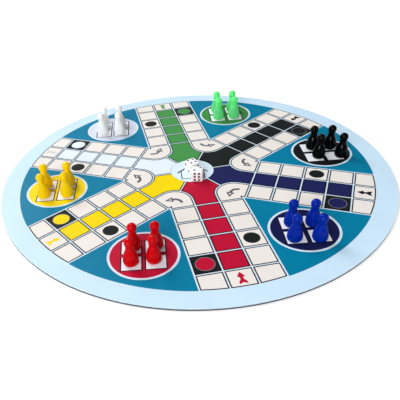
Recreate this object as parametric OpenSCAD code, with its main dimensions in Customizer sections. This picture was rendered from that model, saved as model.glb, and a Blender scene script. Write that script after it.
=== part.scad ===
// Round ludo board for six players, with its pawns and dice.
// A thin laminated disc carries the printed track, twenty-four hollow pawns stand on
// the home squares and two dice lie on the hub.
// Millimetres, +Z up, origin under the middle of the board, red arm towards -Y.

/* [Board layers] */
// Thickness of the stiff grey core
core_t = 1.5; // [0.8:0.1:5]
// Thickness of the printed face sheet
face_t = 0.25; // [0.1:0.05:0.6]
// Thickness of the lining sheet under the core
lining_t = 0.2; // [0.1:0.05:0.6]
// Thickness of the ink film on the face sheet
ink_t = 0.05; // [0.03:0.01:0.1]

/* [Printed field] */
// Diameter of the printed field inside the bare rim
field_d = 362; // [325:1:400]
// Width of the bare rim around the field
rim_w = 19; // [4:0.5:40]
// Width of one column of cells
cell_w = 23.8; // [20:0.1:27]
// Number of cells along each column
rows = 5; // [4:1:6]
// Length of the outermost cell, measured on the arm's axis
end_cell_l = 21.3; // [18:0.1:28]
// Straight length of a corner cell beyond the inner corner of the field
corner_leg = 2.7; // [2:0.1:5]
// Rounding of the corner cells where they face the hub
corner_r = 18; // [15:0.5:19]
// Width of the dark outline of a cell
line_w = 1.1; // [0.3:0.05:1.4]
// Bare gap between neighbouring cells
cell_gap = 1.3; // [0.6:0.1:2]
// Bare border between the arms and the coloured field
field_border = 0.8; // [0.4:0.1:2]
// Clear distance between the dot on a safe cell and the cell's outline
dot_margin = 2.7; // [1:0.1:5]
// Clear distance between the disc on a start cell and the cell's outline
start_margin = 1.7; // [0.8:0.1:4]
// Width of the bare ring around the disc on a start cell
start_ring_w = 0.5; // [0.3:0.05:1]
// Diameter of the bare hub in the middle
hub_d = 44.8; // [38:0.2:60]

/* [Homes] */
// Clear distance between a home's ring and the edge of the field
home_edge_gap = 6.6; // [3:0.2:12]
// Clear distance between a home's ring and the arms beside it
home_arm_gap = 4.2; // [2:0.1:6]
// Width of a home's bare ring
home_ring_w = 2.3; // [1:0.1:4]
// Clear distance between a home's ring and the corners of its squares
spot_margin = 1.2; // [0.6:0.05:6]
// Distance between two home squares
spot_gap = 2; // [1:0.1:5]
// Turn of the home squares against the red arm
page_turn = -8; // [-30:1:30]

/* [Pawn] */
// Height of a pawn
pawn_h = 26; // [22:0.2:32]
// Diameter at the belly, the widest place
pawn_belly_d = 13.4; // [12.5:0.1:16.4]
// Height of the belly above the foot
pawn_belly_z = 3.2; // [2.4:0.1:4]
// Diameter of the ball on top
pawn_head_d = 8.6; // [7.5:0.1:10]
// Radius of the hollow curve at the neck
pawn_neck_r = 8; // [5:0.5:11]
// Wall thickness of the hollow body
pawn_wall = 1.3; // [0.9:0.1:1.8]
// Depth of the hollow under the pawn
pawn_hollow = 13; // [6:0.5:14]

/* [Dice] */
// Edge length of a die
die_edge = 12; // [10:0.5:16]
// Rounding of a die's edges and corners
die_round = 1.5; // [0.6:0.1:2]
// Diameter of a pip
pip_d = 2.4; // [1.4:0.1:2.6]
// Depth of a pip
pip_depth = 0.6; // [0.3:0.05:0.8]

/* [Hidden] */
$fn = 96;

COLOURS = ["red", "blue", "black", "green", "white", "yellow"];
PAWN_COLOURS = ["#d2101c", "#10309c", "#141416", "#4fd85e", "#eef3ee", "#f6c80a"];
INK_COLOURS = ["#c21f3c", "#2a2c63", "#2a2c2b", "#48964c", "#e0eaf6", "#f7d60f"];
ink_dark = "#33363f";
die_white = "#f7f7f5";

// Layer heights
core_z = lining_t;
face_z = core_z + core_t;
ink_z = face_z + face_t;
top_z = ink_z + ink_t;

// Field and arms. An arm is three columns wide and starts where it leaves its neighbours.
field_r = field_d / 2;
board_r = field_r + rim_w;
column_half = cell_w / 2;
arm_half = 3 * column_half;
arm_count = 6;
half_angle = 180 / arm_count;
inner_corner = arm_half / sin(half_angle);
first_line = arm_half / tan(half_angle) + corner_leg;
end_line = field_r - end_cell_l;
cell_l = (end_line - first_line) / (rows - 1);
cell_inside = min(cell_w, cell_l) - cell_gap - 2 * line_w;
dot_d = cell_inside - 2 * dot_margin;
start_d = cell_inside - 2 * start_margin;
corner_centre = (column_half + corner_r) / sin(half_angle);
far = 2 * board_r;
safe_row = rows - 3;
start_row = rows - 2;

// Homes. A home fills the room between two arms and the edge of the field, less the named clearances,
// and its four squares fill the home in the same way.
home_d = 2 * ((field_r - home_edge_gap) * sin(half_angle) - arm_half - home_arm_gap) / (1 + sin(half_angle));
home_r = home_d / 2;
home_disc_r = home_r - home_ring_w;
home_at = field_r - home_edge_gap - home_r;
spot_w = (home_disc_r - spot_margin) / sqrt(2) - spot_gap / 2;
spot_pitch = spot_w + spot_gap;
SEATS = [[-1, -1], [1, -1], [-1, 1], [1, 1]];
// How far each pawn was set down beside its square's middle, as a share of the room between two pawns
pawn_room = spot_pitch - pawn_belly_d;
NUDGES = [
    [[0, 0.1], [-0.2, 0.3], [0.3, 0], [0.1, 0]],
    [[-0.2, -0.3], [-0.2, -0.6], [0.1, -0.3], [-0.2, -0.5]],
    [[0.6, 0.1], [0.9, -0.1], [0.4, -0.1], [0.1, -0.3]],
    [[0.1, 0], [-0.1, 0], [0.1, -0.1], [-0.1, -0.2]],
    [[-0.2, 0], [-0.2, -0.2], [0.1, -0.1], [-0.2, 0]],
    [[-0.2, 0.1], [0.2, 0], [-0.2, -0.1], [0.2, 0]]
];

// Pawn profile. The neck's hollow curve touches the ball and the bell from outside.
belly_r = pawn_belly_d / 2;
head_r = pawn_head_d / 2;
head_z = pawn_h - head_r;
bell_r = 0.86 * pawn_h;
bell_x = belly_r - bell_r;
foot_round_r = 0.79 * belly_r;
foot_r = belly_r - foot_round_r + sqrt(pow(foot_round_r, 2) - pow(pawn_belly_z, 2));
mouth_r = foot_r - 0.75 * pawn_wall;
neck = outside_meet([0, head_z], head_r + pawn_neck_r, [bell_x, pawn_belly_z], bell_r + pawn_neck_r);
neck_top = touch([0, head_z], head_r, neck);
neck_low = touch([bell_x, pawn_belly_z], bell_r, neck);

// Dice. Opposite faces add up to seven, and a pip is a shallow hollow with paint in it.
pip_at = 0.235 * die_edge;
pip_ball_r = (pow(pip_d / 2, 2) + pow(pip_depth, 2)) / (2 * pip_depth);
pip_ball_z = die_edge / 2 - pip_depth + pip_ball_r;
paint_t = 0.75 * pip_depth;
paint_play = 0.02;
PIPS = [
    [[0, 0]],
    [[-1, -1], [1, 1]],
    [[-1, -1], [0, 0], [1, 1]],
    [[-1, -1], [-1, 1], [1, -1], [1, 1]],
    [[-1, -1], [-1, 1], [0, 0], [1, -1], [1, 1]],
    [for (x = [-0.75, 0.75], y = [-1.25, 0, 1.25]) [x, y]]
];
PIP_TURNS = [[0, 0, 0], [90, 0, 0], [0, -90, 0], [0, 90, 0], [-90, 0, 0], [180, 0, 0]];
DIE_NAMES = ["die_front", "die_back"];
DIE_TURNS = [[-90, 0, -19], [0, -90, -69]];
// Middle of each die, in hub radii
DIE_PLACES = [[0.06, -0.8], [-0.02, -0.05]];

function pawn_name(colour, seat) = str("pawn_", colour, "_", seat);

// Where a circle about a and a circle about b meet, on the right of the line from a to b
function outside_meet(a, ra, b, rb) =
    let (
        d = norm(b - a),
        along = (ra * ra - rb * rb + d * d) / (2 * d),
        aside = sqrt(ra * ra - along * along),
        u = (b - a) / d
    )
    a + along * u + aside * [-u[1], u[0]];

// The point of the circle about c that faces p
function touch(c, r, p) = c + r * (p - c) / norm(p - c);

// Distance of a row's inner line from the middle
function line_at(row) = row < rows ? first_line + row * cell_l : field_r + cell_w;

// Home places on the board, in the page's own turn
function home_place(player) =
    let (a = 60 * player - 120)
    home_at * [cos(a), sin(a)];

// Turns an arm drawn towards +Y to its place
module on_arm(player) {
    rotate(60 * player - 180) children();
}

// Turns a drawing about the +Y axis to the gap on the clockwise side of an arm
module in_gap(player) {
    rotate(60 * player - 210) children();
}

module ink(colour) {
    color(colour) translate([0, 0, ink_z]) linear_extrude(ink_t) children();
}

// One cell of an arm that points to +Y, drawn smaller by inset on every side
module cell(column, row, inset) {
    low = line_at(row) + inset;
    high = line_at(row + 1) - inset;
    intersection() {
        translate([column * cell_w - column_half + inset, low])
            square([cell_w - 2 * inset, high - low]);
        if (row == rows - 1) circle(field_r - inset);
    }
}

module cell_outline(column, row) {
    difference() {
        cell(column, row, cell_gap / 2);
        cell(column, row, cell_gap / 2 + line_w);
    }
}

module cell_fill(column, row) {
    cell(column, row, cell_gap / 2 + line_w);
}

// A wedge about the +Y axis that starts at the given distance
module wedge(start) {
    polygon([[0, start], [far * sin(half_angle), start + far * cos(half_angle)],
             [-far * sin(half_angle), start + far * cos(half_angle)]]);
}

// The rounded end of a corner cell, about the +Y axis
module corner_tip(inset) {
    r = corner_r - inset;
    side = [cos(half_angle), -sin(half_angle)] * r;
    run = [sin(half_angle), cos(half_angle)] * far;
    translate([0, corner_centre]) {
        circle(r);
        polygon([side, side + run, [-side[0] - run[0], side[1] + run[1]], [-side[0], side[1]]]);
    }
}

// A corner cell between two arms, about the +Y axis
module corner_cell(inset) {
    difference() {
        intersection() {
            corner_tip(inset);
            for_both_arms() translate([-far, 0]) square([2 * far, first_line - inset]);
        }
        wedge(inner_corner - inset / sin(half_angle));
    }
}

// What lies inside the same line on both arms beside the +Y axis
module for_both_arms() {
    intersection() {
        rotate(half_angle) children();
        rotate(-half_angle) children();
    }
}

// The coloured run from the first cell of the middle column to the hub, drawn smaller by inset
module run_in(inset) {
    difference() {
        intersection() {
            wedge(inset / sin(half_angle));
            translate([-far, 0]) square([2 * far, first_line - inset]);
        }
        rotate(half_angle) corner_tip(-inset);
        rotate(-half_angle) corner_tip(-inset);
        circle(hub_d / 2 + inset - cell_gap / 2);
    }
}

module start_disc() {
    translate([cell_w, (line_at(start_row) + line_at(start_row + 1)) / 2]) children();
}

module safe_dot() {
    translate([-cell_w, (line_at(safe_row) + line_at(safe_row + 1)) / 2]) circle(d = dot_d);
}

// Repeats a drawing on the four squares of a home
module on_spots(player) {
    translate(home_place(player)) rotate(page_turn)
        for (seat = SEATS) translate(seat * spot_pitch / 2) children();
}

module board_core() {
    color("#4a4f57") translate([0, 0, core_z]) cylinder(r = board_r, h = core_t);
}

module face_sheet() {
    color("#cfe8fa") translate([0, 0, face_z]) cylinder(r = board_r, h = face_t);
}

module lining_sheet() {
    color("#3a3d44") cylinder(r = board_r, h = lining_t);
}

// The coloured field between the arms, left open round the homes
module print_field() {
    ink("#0d7fa3") for (player = [0:5]) difference() {
        in_gap(player) intersection() {
            wedge(inner_corner + field_border / sin(half_angle));
            circle(field_r);
        }
        translate(home_place(player)) circle(home_r);
    }
}

// Dark outlines of all cells, runs and home squares
module print_lines() {
    ink(ink_dark) for (player = [0:5]) {
        on_arm(player) {
            for (column = [-1:1], row = [0:rows - 1]) cell_outline(column, row);
            difference() {
                run_in(cell_gap / 2);
                run_in(cell_gap / 2 + line_w);
            }
        }
        in_gap(player) difference() {
            corner_cell(cell_gap / 2);
            corner_cell(cell_gap / 2 + line_w);
        }
        on_spots(player) difference() {
            square(spot_w, center = true);
            square(spot_w - 2 * line_w, center = true);
        }
    }
}

// Pale fills of the plain cells, the safe cells, the end cells and the corner cells
module print_cells() {
    ink("#f0e9e4") for (player = [0:5]) {
        on_arm(player) {
            for (column = [-1, 1], row = [0:rows - 1])
                if (!(column == 1 && row == start_row)) difference() {
                    cell_fill(column, row);
                    if (column == -1 && row == safe_row) safe_dot();
                }
            cell_fill(0, rows - 1);
        }
        in_gap(player) corner_cell(cell_gap / 2 + line_w);
    }
}

// White fills of the home squares
module print_spots() {
    ink("#eeeef6") for (player = [0:5]) on_spots(player) square(spot_w - 2 * line_w, center = true);
}

// One player's ink: middle column, run to the hub, start disc and home disc
module print_player(player) {
    ink(INK_COLOURS[player]) {
        on_arm(player) {
            for (row = [0:rows - 2]) cell_fill(0, row);
            run_in(cell_gap / 2 + line_w);
            start_disc() circle(d = start_d - 2 * start_ring_w);
        }
        difference() {
            translate(home_place(player)) circle(home_disc_r);
            on_spots(player) square(spot_w, center = true);
        }
        if (COLOURS[player] == "black") black_marks();
    }
}

// The marks that are black on every arm: start cells and safe dots
module black_marks() {
    for (player = [0:5]) on_arm(player) {
        difference() {
            cell_fill(1, start_row);
            start_disc() circle(d = start_d);
        }
        safe_dot();
    }
}

// Half section of a pawn
module pawn_section() {
    difference() {
        union() {
            translate([0, head_z]) circle(head_r);
            intersection() {
                translate([bell_x, pawn_belly_z]) circle(bell_r);
                translate([0, pawn_belly_z]) square([belly_r, neck_low[1] - pawn_belly_z]);
            }
            intersection() {
                translate([belly_r - foot_round_r, pawn_belly_z]) circle(foot_round_r);
                square([belly_r, pawn_belly_z]);
            }
            square([foot_r, pawn_belly_z]);
            difference() {
                polygon([[0, neck_low[1]], neck_low, neck, neck_top, [0, neck_top[1]]]);
                translate(neck) circle(pawn_neck_r);
            }
        }
        translate([-belly_r, 0]) square([belly_r, pawn_h]);
        intersection() {
            translate([bell_x, pawn_belly_z]) circle(bell_r - pawn_wall);
            square([mouth_r, pawn_hollow]);
        }
    }
}

module pawn(player, seat) {
    place = SEATS[seat] * spot_pitch / 2 + NUDGES[player][seat] * pawn_room;
    color(PAWN_COLOURS[player]) translate([0, 0, top_z])
        translate(home_place(player)) rotate(page_turn) translate(place)
            rotate_extrude() pawn_section();
}

// A block with rounded edges and corners
module round_block(edge, r) {
    inner = edge - 2 * r;
    for (turn = [[0, 0, 0], [90, 0, 0], [0, 90, 0]]) rotate(turn) {
        cube([inner, inner, edge], center = true);
        for (x = [-1, 1], y = [-1, 1])
            translate([x * inner / 2, y * inner / 2]) cylinder(r = r, h = inner, center = true);
    }
    for (x = [-1, 1], y = [-1, 1], z = [-1, 1]) translate([x, y, z] * inner / 2) sphere(r);
}

// Repeats a drawing made on the +Z face at every pip of a die
module on_pips() {
    for (face = [0:5]) rotate(PIP_TURNS[face])
        for (pip = PIPS[face]) translate(pip * pip_at) children();
}

module place_die(i) {
    place = DIE_PLACES[i] * hub_d / 2;
    translate([place[0], place[1], top_z + die_edge / 2]) rotate(DIE_TURNS[i]) children();
}

module die(i) {
    color(die_white) place_die(i) difference() {
        round_block(die_edge, die_round);
        on_pips() translate([0, 0, pip_ball_z]) sphere(pip_ball_r);
    }
}

// Paint in the bottom of the pips
module die_pips(i) {
    color("#161616") place_die(i) on_pips() intersection() {
        translate([0, 0, pip_ball_z]) sphere(pip_ball_r - paint_play);
        translate([-pip_d, -pip_d, die_edge / 2 - pip_depth]) cube([2 * pip_d, 2 * pip_d, paint_t]);
    }
}

board_core();
face_sheet();
lining_sheet();
print_field();
print_lines();
print_cells();
print_spots();
for (player = [0:5]) {
    print_player(player);
    for (seat = [0:3])
        pawn(player, seat);
}
for (i = [0, 1]) {
    die(i);
    die_pips(i);
}
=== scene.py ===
"""Looks of the round six-player ludo board: laminated print, moulded pawns and dice."""

import math

import bmesh
import bpy
from mathutils import Matrix, Vector
from mathutils.geometry import tessellate_polygon

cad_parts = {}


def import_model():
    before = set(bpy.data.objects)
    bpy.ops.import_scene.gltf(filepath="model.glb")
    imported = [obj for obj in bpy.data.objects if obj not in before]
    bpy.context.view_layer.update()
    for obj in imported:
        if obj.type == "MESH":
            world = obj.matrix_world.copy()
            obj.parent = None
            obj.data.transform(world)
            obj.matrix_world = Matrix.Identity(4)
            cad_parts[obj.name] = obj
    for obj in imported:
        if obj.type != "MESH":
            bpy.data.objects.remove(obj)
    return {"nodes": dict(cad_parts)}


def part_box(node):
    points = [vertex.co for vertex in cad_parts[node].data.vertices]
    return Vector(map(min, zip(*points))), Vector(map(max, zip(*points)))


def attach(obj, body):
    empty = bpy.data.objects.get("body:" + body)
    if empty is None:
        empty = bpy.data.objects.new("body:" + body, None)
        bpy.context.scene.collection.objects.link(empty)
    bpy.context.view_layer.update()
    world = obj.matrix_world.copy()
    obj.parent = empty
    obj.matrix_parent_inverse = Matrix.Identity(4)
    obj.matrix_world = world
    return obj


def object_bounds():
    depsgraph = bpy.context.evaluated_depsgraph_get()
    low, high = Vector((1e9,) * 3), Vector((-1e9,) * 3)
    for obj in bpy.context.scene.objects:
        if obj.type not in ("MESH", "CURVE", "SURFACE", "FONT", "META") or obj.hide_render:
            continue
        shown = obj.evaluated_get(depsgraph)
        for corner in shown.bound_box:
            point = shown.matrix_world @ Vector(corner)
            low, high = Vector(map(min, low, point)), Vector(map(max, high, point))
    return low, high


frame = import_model()
cad_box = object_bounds()

MM = 0.001
PLAYERS = ("red", "blue", "black", "green", "white", "yellow")

# Camera in millimetres, degrees and pixels, fitted to the photograph's printed arms, rim and pawns
CAMERA_AT_MM = (-99.2, -437.7, 267.3)
CAMERA_AZIMUTH = 6.12
CAMERA_DIP = 39.62
CAMERA_ROLL = -5.1
IMAGE_PX = 400
FOCAL_PX = 484.2
AXIS_PX = (150.0, 250.0)
SENSOR_MM = 36.0
CLIP_START = 0.01

# Print layout in millimetres, from the frame or as in the part's source
BOARD_R = cad_box[1][1] / MM
FIELD_R = 181.0
HOME_AT = 142.9
HOME_R = 31.5
END_LINE = 159.7
INNER_CORNER = 71.4
HUB_R = 22.4
START_AT = (23.8, 147.8)
INK_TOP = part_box("print_field")[1][2] / MM

# Turns in degrees of what is drawn on +Y: onto each arm, onto the home beside it, and with the page
ARM_STEP = 60
ARM_TURNS = {player: ARM_STEP * place - 180 for place, player in enumerate(PLAYERS)}
HOME_TURNS = {player: turn - ARM_STEP / 2 for player, turn in ARM_TURNS.items()}
PAGE_TURN = -8

# Millimetres: thickness of the drawn signs, soft edge of a spot, spot on a run's end, worn rim
SIGN_T = 0.02
SPOT_EDGE = 0.5
RUN_END_R = 10.8
WEAR_W = 1.5

# Dice in millimetres and degrees
DIE_EDGE = 12.0
DIE_YAWS = {"die_front": -19, "die_back": -69}
# How deep a surface lies to count as a dish, and how far from a face's middle the dishes reach
DISH_START = 0.03
PIP_REACH = 4.77

# Colours as the photograph shows them, red, green and blue from 0 to 255
INKS = {
    "field": (3, 123, 160),
    "lines": (16, 18, 23),
    "cells": (236, 230, 225),
    "spots": (238, 238, 246),
    "red": (188, 18, 53),
    "blue": (32, 36, 88),
    "black": (29, 32, 33),
    "green": (70, 147, 76),
    "white": (226, 238, 250),
    "yellow": (246, 214, 2),
    "bends": (100, 98, 106),
    "rings": (112, 112, 118),
    "house": (16, 18, 23),
}
# Home discs painted darker than their player's ink, partly a darker disc ink and partly painted shade
# of the pawns standing on them; and inks of the arrows that differ from their player's ink
DISC_INKS_AND_SHADE = {
    "blue": (22, 25, 70),
    "black": (20, 23, 26),
    "green": (62, 134, 68),
    "white": (206, 210, 230),
}
ARROW_INKS = {
    "blue": (18, 15, 32),
    "white": (206, 210, 213),
}
# The face sheet on the rim, between the lines of the field, in the hub and where its edge is worn
RIM_INK = (204, 231, 250)
BARE_INK = (214, 228, 240)
HUB_INK = (222, 239, 250)
WORN_INK = (248, 250, 252)
# The board's core and lining, and the dice
CORE_GREY = (84, 92, 102)
LINING_GREY = (52, 56, 64)
DIE_WHITE = (249, 250, 252)
PIP_INK = (5, 5, 8)
# The pawns
PLASTICS = {
    "red": (198, 0, 10),
    "blue": (0, 37, 153),
    "black": (1, 2, 3),
    "green": (101, 249, 134),
    "white": (250, 252, 250),
    "yellow": (249, 206, 0),
}
# How far light runs inside each plastic in millimetres, how much of it does, and the gloss on top
FINISHES = {
    "red": (1.5, 0.25, 0.12),
    "blue": (1.2, 0.2, 0.1),
    "black": (0.2, 0.0, 0.1),
    "green": (9.0, 0.9, 0.16),
    "white": (3.0, 0.6, 0.16),
    "yellow": (2.5, 0.5, 0.16),
}
# How that distance differs for red, green and blue light
PAWN_SCATTER = (1.0, 0.9, 0.8)
# The same distance in the dice, in millimetres for red, green and blue light
DIE_SCATTER_MM = (1.5, 1.5, 1.4)

# Threads of the lining's linen emboss, from one to the next in millimetres
WEAVE_PITCH = 0.9


def linear(colour):
    """The shader's linear values for an opaque colour from 0 to 255."""
    shares = [c / 255 for c in colour]
    return [s / 12.92 if s <= 0.04045 else ((s + 0.055) / 1.055) ** 2.4 for s in shares] + [1.0]


def shade(colour, share):
    """The same colour, lighter for a share above 1 and darker below."""
    return [c * share for c in colour]


class Look:
    """One material, with short ways to add nodes to it. A pattern may replace its plain roughness."""

    def __init__(self, name, colour, roughness, gloss):
        self.material = bpy.data.materials.new(name)
        self.material.use_nodes = True
        self.tree = self.material.node_tree
        self.shader = self.tree.nodes["Principled BSDF"]
        self.place = self.add("TexCoord", {})
        self.colour = linear(colour)
        self.normal = None
        self.set("Roughness", roughness)
        self.set("Specular IOR Level", gloss)

    def put(self, value, socket):
        """Sets a socket to a constant, or links it to an output."""
        if isinstance(value, bpy.types.NodeSocket):
            self.tree.links.new(value, socket)
        else:
            socket.default_value = value

    def set(self, socket, value):
        """Sets one of the shader's own sockets."""
        self.put(value, self.shader.inputs[socket])

    def add(self, kind, values):
        """A new node, with values for its inputs by name or number."""
        node = self.tree.nodes.new(f"ShaderNode{kind}")
        for key, value in values.items():
            self.put(value, node.inputs[key])
        return node

    def calc(self, kind, *values):
        """One step of arithmetic."""
        node = self.add("Math", dict(enumerate(values)))
        node.operation = kind
        return node.outputs[0]

    def spread(self, value, span, to):
        """Maps a value from one range to another and keeps it inside."""
        return self.add("MapRange", dict(enumerate((value, *span, *to)))).outputs[0]

    def noise(self, size_mm, detail, stretch=(1, 1, 1)):
        """Cloudy values from 0 to 1 whose patches are about size_mm across."""
        scaled = self.add("Mapping", {"Vector": self.place.outputs["Object"], "Scale": stretch})
        cloud = {"Vector": scaled.outputs[0], "Scale": 1 / (size_mm * MM), "Detail": detail}
        return self.add("TexNoise", cloud).outputs["Fac"]

    def patches(self, size_mm, detail, span, to):
        """Noise whose values in a span are mapped to another range."""
        return self.spread(self.noise(size_mm, detail), span, to)

    def part(self, axis, coords="Object"):
        """One coordinate of the surface point, X, Y or Z."""
        return self.add("SeparateXYZ", {0: self.place.outputs[coords]}).outputs[axis]

    def reach(self, at):
        """How far the surface point is from an upright line at a place in millimetres."""
        steps = [self.calc("SUBTRACT", self.part(axis), c * MM) for axis, c in zip("XY", at)]
        return self.calc("SQRT", self.calc("ADD", *(self.calc("POWER", step, 2.0) for step in steps)))

    def square_to(self, middle, yaw):
        """How far the surface point is from a middle along each axis of a frame turned by yaw."""
        place = self.place.outputs["Object"]
        turn = (0, 0, math.radians(yaw))
        node = self.add("Mapping", {"Vector": place, "Location": middle, "Rotation": turn})
        node.vector_type = "TEXTURE"
        sides = self.add("SeparateXYZ", {0: node.outputs[0]}).outputs
        return [self.calc("ABSOLUTE", side) for side in sides]

    def tint(self, share, colour):
        """Lays another colour over the base colour where share is high."""
        node = self.add("Mix", {})
        node.data_type = "RGBA"
        sockets = [socket for socket in node.inputs if socket.enabled]
        for socket, value in zip(sockets, (share, self.colour, linear(colour))):
            self.put(value, socket)
        self.colour = next(socket for socket in node.outputs if socket.enabled)

    def bump(self, height, depth_mm, strength):
        """Adds relief to what relief there is."""
        node = self.add("Bump", {"Height": height, "Distance": depth_mm * MM, "Strength": strength})
        if self.normal is not None:
            self.put(self.normal, node.inputs["Normal"])
        self.normal = node.outputs[0]

    def scatter(self, share, reach_mm):
        """Lets a share of the light run inside, as far as reach_mm says for red, green and blue."""
        self.set("Subsurface Weight", share)
        self.set("Subsurface Radius", [reach * MM for reach in reach_mm])
        self.set("Subsurface Scale", 1.0)

    def done(self):
        """The material, with its colour and relief joined to the shader."""
        self.set("Base Color", self.colour)
        if self.normal is not None:
            self.set("Normal", self.normal)
        return self.material


def laminated(name, colour, spots=(), worn_rim=False):
    """Ink under a satin film. A spot is a round patch of another colour: its middle, radius and colour.
    On the home discs that colour holds painted shade of the pawns besides the disc ink.
    """
    look = Look(name, colour, roughness=0.4, gloss=0.05)
    # On the home discs these spots lay painted shade of the pawns as well as ink
    for middle, radius, ink in spots:
        edge = ((radius - SPOT_EDGE) * MM, radius * MM)
        look.tint(look.spread(look.reach(middle), edge, (1.0, 0.0)), ink)
    grain = look.patches(0.7, detail=3.0, span=(0.35, 0.75), to=(0.0, 0.35))
    look.tint(grain, shade(colour, 0.93))
    mottling = look.patches(60.0, detail=2.0, span=(0.4, 0.7), to=(0.0, 0.3))
    look.tint(mottling, shade(colour, 1.05))
    look.set("Roughness", look.patches(9.0, detail=4.0, span=(0.3, 0.7), to=(0.36, 0.46)))
    if worn_rim:
        rim = look.spread(look.reach((0, 0)), ((BOARD_R - WEAR_W) * MM, BOARD_R * MM), (0.0, 1.0))
        rubbed = look.patches(3.0, detail=4.0, span=(0.45, 0.7), to=(0.0, 0.8))
        look.tint(look.calc("MULTIPLY", rim, rubbed), WORN_INK)
    fibres = look.noise(0.45, detail=2.0)
    look.bump(fibres, depth_mm=0.02, strength=0.25)
    ripple = look.noise(14.0, detail=1.0)
    look.bump(ripple, depth_mm=0.15, strength=0.1)
    return look.done()


def grey_board(name):
    """Pressed grey board: fibres lie in the plane, so its cut edge shows thin layers."""
    look = Look(name, CORE_GREY, roughness=0.8, gloss=0.3)
    layers = look.noise(1.0, detail=4.0, stretch=(0.12, 0.12, 6.0))
    look.tint(look.spread(layers, (0.35, 0.7), (0.0, 0.7)), shade(CORE_GREY, 0.7))
    flecks = look.patches(0.4, detail=2.0, span=(0.55, 0.8), to=(0.0, 0.5))
    look.tint(flecks, shade(CORE_GREY, 1.3))
    look.bump(layers, depth_mm=0.12, strength=0.6)
    return look.done()


def book_cloth(name):
    """Dark lining paper with a fine linen emboss."""
    look = Look(name, LINING_GREY, roughness=0.62, gloss=0.35)
    turns = [look.calc("MULTIPLY", look.part(axis), math.tau / (WEAVE_PITCH * MM)) for axis in "XY"]
    weave = look.calc("MAXIMUM", *(look.calc("SINE", turn) for turn in turns))
    look.tint(look.spread(weave, (-1.0, 1.0), (0.5, 0.0)), shade(LINING_GREY, 0.75))
    scuffs = look.patches(25.0, detail=4.0, span=(0.5, 0.8), to=(0.0, 0.35))
    look.tint(scuffs, shade(LINING_GREY, 1.2))
    look.bump(weave, depth_mm=0.05, strength=0.5)
    return look.done()


def moulded(name, colour, finish):
    """Moulded plastic with a soft gloss, a faint mould line and a slight ripple."""
    reach, share, gloss = finish
    look = Look(name, colour, roughness=0.2, gloss=gloss)
    look.scatter(share, [reach * channel for channel in PAWN_SCATTER])
    flow_marks = look.patches(5.0, detail=2.0, span=(0.4, 0.75), to=(0.0, 0.1))
    look.tint(flow_marks, shade(colour, 0.92))
    look.set("Roughness", look.patches(2.5, detail=4.0, span=(0.35, 0.7), to=(0.15, 0.23)))
    from_middle = look.calc("ABSOLUTE", look.calc("SUBTRACT", look.part("X", "Generated"), 0.5))
    mould_line = look.spread(from_middle, (0.004, 0.016), (1.0, 0.0))
    look.bump(mould_line, depth_mm=0.05, strength=0.4)
    ripple = look.noise(6.0, detail=1.0)
    look.bump(ripple, depth_mm=0.1, strength=0.2)
    return look.done()


def die_plastic(name, die, yaw):
    """White plastic, with paint on the walls of the dished pips up to their rims."""
    look = Look(name, DIE_WHITE, roughness=0.16, gloss=0.4)
    look.scatter(0.1, DIE_SCATTER_MM)
    handling = look.patches(2.0, detail=3.0, span=(0.45, 0.8), to=(0.0, 0.3))
    look.tint(handling, shade(DIE_WHITE, 0.94))
    look.set("Roughness", look.patches(1.5, detail=4.0, span=(0.3, 0.7), to=(0.12, 0.24)))
    ripple = look.noise(2.0, detail=2.0)
    look.bump(ripple, depth_mm=0.05, strength=0.2)
    corners = frame["nodes"][die].bound_box
    middle = [sum(places) / len(corners) for places in zip(*corners)]
    x, y, z = look.square_to(middle, yaw)
    wide = look.calc("MAXIMUM", x, y)
    narrow = look.calc("MINIMUM", x, y)
    largest = look.calc("MAXIMUM", wide, z)
    second = look.calc("MAXIMUM", narrow, look.calc("MINIMUM", wide, z))
    sunk = look.calc("LESS_THAN", largest, (DIE_EDGE / 2 - DISH_START) * MM)
    among_pips = look.calc("LESS_THAN", second, PIP_REACH * MM)
    look.tint(look.calc("MULTIPLY", sunk, among_pips), PIP_INK)
    return look.done()


def pip_paint(name):
    """Thick matt paint in the dishes of the dice."""
    look = Look(name, PIP_INK, roughness=0.4, gloss=0.05)
    specks = look.patches(0.4, detail=3.0, span=(0.5, 0.8), to=(0.0, 0.5))
    look.tint(specks, shade(PIP_INK, 1.6))
    look.set("Roughness", look.patches(0.3, detail=3.0, span=(0.3, 0.7), to=(0.3, 0.5)))
    strokes = look.noise(0.3, detail=2.0)
    look.bump(strokes, depth_mm=0.03, strength=0.4)
    return look.done()


def turned(points, degrees):
    """Points turned about the middle of the board."""
    turn = Matrix.Rotation(math.radians(degrees), 2)
    return [turn @ Vector(p) for p in points]


def dress(node, material):
    """Gives a CAD node a material in place of its own."""
    mesh = frame["nodes"][node].data
    mesh.materials.clear()
    mesh.materials.append(material)


# Spots of another colour: home discs, darker with painted shade of the pawns as well as their own ink,
# line ends at the hub, and bare paper in the field and the hub
SPOTS = {}
for player, ink in DISC_INKS_AND_SHADE.items():
    home = turned([(0, HOME_AT)], HOME_TURNS[player])[0]
    SPOTS[player] = [(home, HOME_R + 2 * SPOT_EDGE, ink)]
RUN_ENDS = {player: turned([(0, HUB_R)], turn)[0] for player, turn in ARM_TURNS.items()}
SPOTS["lines"] = [(RUN_ENDS[player], RUN_END_R, INKS[player]) for player in PLAYERS]
BARE_SPOTS = [((0, 0), FIELD_R, BARE_INK), ((0, 0), HUB_R, HUB_INK)]

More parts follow.
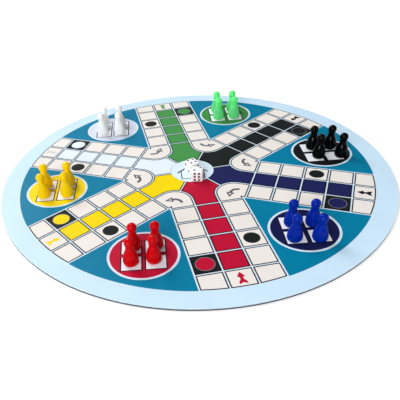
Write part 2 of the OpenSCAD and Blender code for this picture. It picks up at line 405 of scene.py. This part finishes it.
INK_LOOKS = {ink: laminated(f"ink_{ink}", colour, SPOTS.get(ink, ())) for ink, colour in INKS.items()}
ARROW_LOOKS = {ink: laminated(f"arrow_ink_{ink}", colour) for ink, colour in ARROW_INKS.items()}
dress("board_core", grey_board("core_board"))
dress("face_sheet", laminated("face_paper", RIM_INK, BARE_SPOTS, worn_rim=True))
dress("lining_sheet", book_cloth("lining_paper"))
for ink in ("field", "lines", "cells", "spots", *PLAYERS):
    dress(f"print_{ink}", INK_LOOKS[ink])
for player in PLAYERS:
    plastic = moulded(f"pawn_{player}", PLASTICS[player], FINISHES[player])
    for seat in range(1, 5):
        dress(f"pawn_{player}_{seat}", plastic)
black_paint = pip_paint("pip_paint")
for die, yaw in DIE_YAWS.items():
    dress(die, die_plastic(f"{die}_plastic", die, yaw))
    dress(f"{die}_pips", black_paint)


def in_scene(name, data):
    """A new object in the scene."""
    piece = bpy.data.objects.new(name, data)
    bpy.context.scene.collection.objects.link(piece)
    return piece


def film(name, shapes, material):
    """A thin printed film riding on the board. A shape is an outline in millimetres, then its holes."""
    points, faces = [], []
    for shape in shapes:
        loops = [[Vector((x, y, 0)) for x, y in loop] for loop in shape]
        low = len(points)
        high = low + sum(len(loop) for loop in loops)
        for z in (INK_TOP, INK_TOP + SIGN_T):
            points += [(p + Vector((0, 0, z))) * MM for loop in loops for p in loop]
        for a, b, c in tessellate_polygon(loops):
            faces += [(high + a, high + b, high + c), (low + c, low + b, low + a)]
        first = 0
        for loop in loops:
            ring = range(first, first + len(loop))
            faces += [(low + i, low + j, high + j, high + i) for i, j in zip(ring, [*ring[1:], first])]
            first += len(loop)
    mesh = bpy.data.meshes.new(name)
    mesh.from_pydata(points, [], faces)
    shell = bmesh.new()
    shell.from_mesh(mesh)
    bmesh.ops.recalc_face_normals(shell, faces=shell.faces)
    shell.to_mesh(mesh)
    shell.free()
    mesh.materials.append(material)
    piece = in_scene(name, mesh)
    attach(piece, "board")


def mirrored(half):
    """A whole outline from its right half, which starts and ends on the middle line."""
    return half + [(-x, y) for x, y in reversed(half) if x]


def all_turned(shapes, degrees):
    """Shapes of a film turned about the middle of the board."""
    return [[turned(loop, degrees) for loop in loops] for loops in shapes]


# Straight arrow of an end cell, in millimetres
ARROW_L = 14.2
ARROW_HALF = 3.4
STEM_HALF = 1.4
HEAD_L = 5.7
TAIL_L = 5.4
FIN_L = 2.6
TAIL_NOTCH = 1.8


def end_arrow():
    """A point towards the hub, a short stem and a spread tail."""
    tip = (END_LINE + FIELD_R - ARROW_L) / 2
    neck = tip + HEAD_L
    end = tip + ARROW_L
    half = [
        (0, tip),
        (ARROW_HALF, neck),
        (STEM_HALF, neck + STEM_HALF / 2),
        (STEM_HALF, end - TAIL_L),
        (ARROW_HALF, end - FIN_L),
        (ARROW_HALF, end),
        (0, end - TAIL_NOTCH),
    ]
    return [[mirrored(half)]]


# Bent arrow of a corner cell, in millimetres, with its ends in degrees
BEND_ASIDE = -1.5
BEND_BELOW = 8.4
BEND_R = 6.9
BEND_TAIL = -65
BEND_HEAD = 34
BEND_W = 2.9
BEND_STEPS = 14
OPEN_HEAD_L = 5.6
OPEN_HEAD_HALF = 2.8
OPEN_HEAD_LINE = 1.7


def bent_arrow():
    """A short bold arc below the field's inner corner, and a triangle drawn in outline as its head."""
    middle = Vector((BEND_ASIDE, INNER_CORNER - BEND_BELOW))
    step = (BEND_HEAD - BEND_TAIL) / BEND_STEPS
    rays = [turned([(0, -1)], BEND_TAIL + step * i)[0] for i in range(BEND_STEPS + 1)]
    band = [middle + ray * (BEND_R + BEND_W / 2) for ray in rays]
    band += [middle + ray * (BEND_R - BEND_W / 2) for ray in reversed(rays)]
    side = rays[-1]
    ahead = Vector((-side.y, side.x))
    slant = math.hypot(OPEN_HEAD_HALF, OPEN_HEAD_L)
    inner_r = OPEN_HEAD_HALF * OPEN_HEAD_L / (OPEN_HEAD_HALF + slant)
    heart = middle + side * BEND_R + ahead * (OPEN_HEAD_LINE / 2 + inner_r)
    corners = [
        side * OPEN_HEAD_HALF - ahead * inner_r,
        ahead * (OPEN_HEAD_L - inner_r),
        -side * OPEN_HEAD_HALF - ahead * inner_r,
    ]
    sizes = [1 + sign * OPEN_HEAD_LINE / 2 / inner_r for sign in (1, -1)]
    return [[band], [[heart + corner * size for corner in corners] for size in sizes]]


# Ring on a start cell: outer and inner radius in millimetres
RING_RADII = (8.55, 7.8)
RING_STEPS = 48


def start_ring():
    """A thin ring around the disc of a start cell."""
    middle = Vector(START_AT)
    rays = [turned([(1, 0)], 360 * i / RING_STEPS)[0] for i in range(RING_STEPS)]
    return [[[middle + ray * radius for ray in rays] for radius in RING_RADII]]


# House in the hub, in millimetres from the middle of the board
HOUSE_HALF = 11.8
HOUSE_FLOOR = -15.4
HOUSE_EAVE = (15.8, -3.2)
HOUSE_RIDGE = 11.2
WALL_LINE = 1.0
ROOF_LINE = 1.8


def house():
    """A bold roof line, with thin walls and a floor line below it."""
    eave_x, eave_y = HOUSE_EAVE
    slope = (HOUSE_RIDGE - eave_y) / eave_x
    over, under = (HOUSE_RIDGE + sign * ROOF_LINE / 2 * math.hypot(1, slope) for sign in (1, -1))
    roof = [(0, under), (eave_x, under - slope * eave_x), (eave_x, over - slope * eave_x), (0, over)]
    outer, inner = (HOUSE_HALF + sign * WALL_LINE / 2 for sign in (1, -1))
    low, high = (HOUSE_FLOOR + sign * WALL_LINE / 2 for sign in (-1, 1))
    walls = [
        (0, low),
        (outer, low),
        (outer, under - slope * outer),
        (inner, under - slope * inner),
        (inner, high),
        (0, high),
    ]
    return [[mirrored(roof)], [mirrored(walls)]]


for player, turn in ARM_TURNS.items():
    look = ARROW_LOOKS.get(player, INK_LOOKS[player])
    film(f"arrow_{player}", all_turned(end_arrow(), turn), look)
bends = [loops for turn in HOME_TURNS.values() for loops in all_turned(bent_arrow(), turn)]
film("bent_arrows", bends, INK_LOOKS["bends"])
rings = [loops for turn in ARM_TURNS.values() for loops in all_turned(start_ring(), turn)]
film("start_rings", rings, INK_LOOKS["rings"])
film("house_mark", all_turned(house(), PAGE_TURN), INK_LOOKS["house"])


# Floor in metres, and how brightly it shines where it is seen, to look white as in the photograph
FLOOR_HALF = 6.0
FLOOR_Z = -0.0001
FLOOR_INK = (250, 250, 250)
FLOOR_CLOUDS = (252, 252, 252)
FLOOR_GLOW = 0.25
SEEN_BY = ("Camera", "Glossy", "Transmission")

# Soft boxes in metres: place, size, and how bright each alone makes a white floor at the middle
SOFT_BOXES = {
    "key": ((-0.7, 1.15, 1.25), (0.8, 0.8), 0.46),
    "back": ((-0.3, 1.9, 0.85), (1.6, 0.5), 0.03),
    "fill": ((-1.0, -1.5, 0.95), (1.0, 0.7), 0.34),
    "top": ((0.2, 0.0, 2.4), (2.0, 2.0), 0.14),
    "right_strip": ((0.85, -0.6, 0.6), (0.2, 0.8), 0.03),
}
WHITE = (1.0, 1.0, 1.0, 1.0)
WORLD_LIGHT = 0.14


def floor():
    """A large sheet of white paper under the board."""
    signs = ((-1, -1), (1, -1), (1, 1), (-1, 1))
    corners = [(x * FLOOR_HALF, y * FLOOR_HALF, FLOOR_Z) for x, y in signs]
    mesh = bpy.data.meshes.new("floor")
    mesh.from_pydata(corners, [], [(0, 1, 2, 3)])
    look = Look("floor_paper", FLOOR_INK, roughness=0.9, gloss=0.1)
    clouds = look.patches(400.0, detail=2.0, span=(0.4, 0.7), to=(0.0, 0.2))
    look.tint(clouds, FLOOR_CLOUDS)
    rays = look.add("LightPath", {})
    camera_ray, glossy_ray, through_ray = (rays.outputs[f"Is {kind} Ray"] for kind in SEEN_BY)
    seen = look.calc("ADD", look.calc("ADD", camera_ray, glossy_ray), through_ray)
    look.set("Emission Color", WHITE)
    look.set("Emission Strength", look.calc("MULTIPLY", seen, FLOOR_GLOW))
    mesh.materials.append(look.done())
    piece = in_scene("floor", mesh)


def soft_light(name, at, size, share):
    """A soft box that faces the middle of the board."""
    place = Vector(at)
    light = bpy.data.lights.new(name, "AREA")
    light.shape = "RECTANGLE"
    light.size, light.size_y = size
    light.energy = share * math.pi ** 2 * place.length ** 3 / place.z
    piece = in_scene(name, light)
    piece.location = place
    piece.rotation_mode = "QUATERNION"
    piece.rotation_quaternion = place.to_track_quat("Z", "Y")


def world():
    """Even white light from all sides."""
    backdrop = bpy.data.worlds.new("studio")
    backdrop.use_nodes = True
    background = backdrop.node_tree.nodes["Background"]
    background.inputs["Color"].default_value = WHITE
    background.inputs["Strength"].default_value = WORLD_LIGHT
    bpy.context.scene.world = backdrop


def camera():
    """The photograph's camera, with the lens shifted to where its axis meets the picture."""
    azimuth, dip, roll = (math.radians(a) for a in (CAMERA_AZIMUTH, CAMERA_DIP, CAMERA_ROLL))
    level_way = Vector((math.sin(azimuth), math.cos(azimuth), 0))
    ahead = math.cos(dip) * level_way - Vector((0, 0, math.sin(dip)))
    level = ahead.cross(Vector((0, 0, 1))).normalized()
    upright = level.cross(ahead)
    right = math.cos(roll) * level + math.sin(roll) * upright
    up = math.cos(roll) * upright - math.sin(roll) * level
    lens = bpy.data.cameras.new("camera")
    lens.sensor_fit = "AUTO"
    lens.sensor_width = SENSOR_MM
    lens.lens = FOCAL_PX / IMAGE_PX * SENSOR_MM
    lens.shift_x = (IMAGE_PX / 2 - AXIS_PX[0]) / IMAGE_PX
    lens.shift_y = (AXIS_PX[1] - IMAGE_PX / 2) / IMAGE_PX
    lens.clip_start = CLIP_START
    piece = in_scene("camera", lens)
    turn = Matrix((right, up, -ahead)).transposed()
    piece.matrix_world = Matrix.Translation(Vector(CAMERA_AT_MM) * MM) @ turn.to_4x4()
    bpy.context.scene.camera = piece


floor()
for name, box in SOFT_BOXES.items():
    soft_light(name, *box)
world()
camera()
bpy.context.scene.view_settings.view_transform = "Standard"
